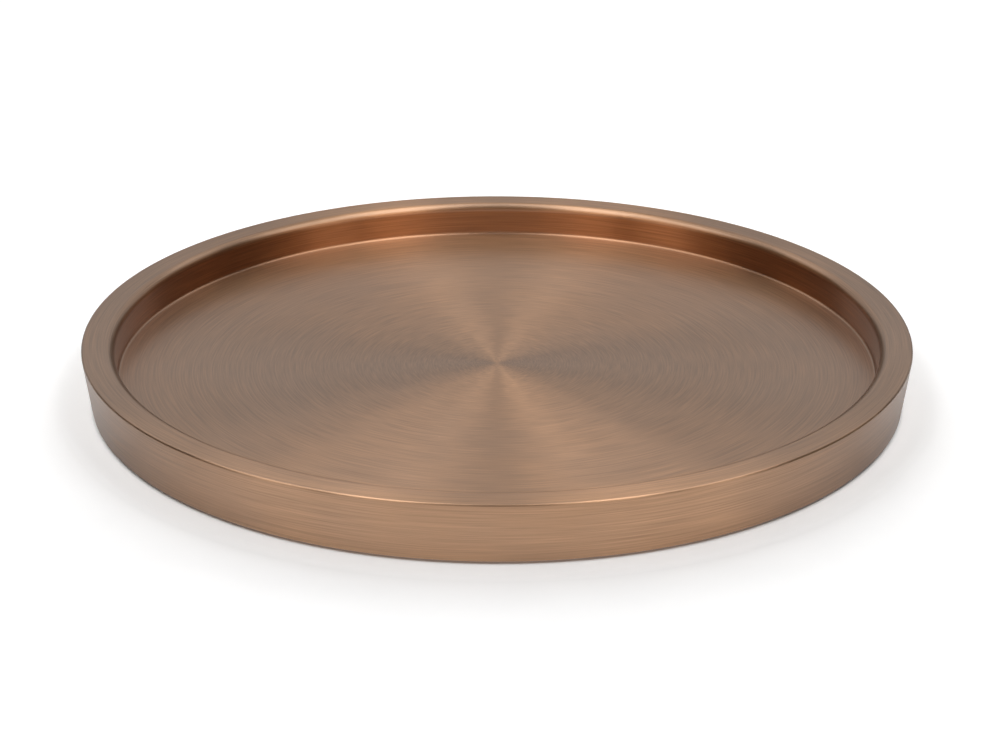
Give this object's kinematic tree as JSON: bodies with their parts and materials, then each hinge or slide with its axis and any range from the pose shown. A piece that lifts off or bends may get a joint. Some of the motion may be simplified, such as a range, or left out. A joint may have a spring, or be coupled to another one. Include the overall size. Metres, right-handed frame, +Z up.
{
  "type": "round serving tray",
  "caption": "Shallow round double-walled serving tray with a broad flat rim, rounded inner edge, tapered skirt and rubber feet, in brushed copper-toned metal.",
  "frame": {"origin": "centre of the circle that the feet stand on, at the level of the feet's undersides", "axes": "+Z up along the tray's axis of revolution, out of the open well; +X points midway between foot_6 and foot_1"},
  "size_m": [0.3544, 0.3544, 0.0256],
  "materials": {
    "brushed_metal": "brushed in circles, copper-bronze tone, clear lacquered",
    "hardboard": "bare pressed hardboard",
    "felt": "grey pressed felt",
    "foot_rubber": "matt black moulded rubber"
  },
  "bodies": {
    "root": {"inner_pan": "brushed_metal", "outer_pan": "brushed_metal", "core_board": "hardboard", "felt_pad": "felt", "foot_1": "foot_rubber", "foot_2": "foot_rubber", "foot_3": "foot_rubber", "foot_4": "foot_rubber", "foot_5": "foot_rubber", "foot_6": "foot_rubber"}
  },
  "joints": []
}
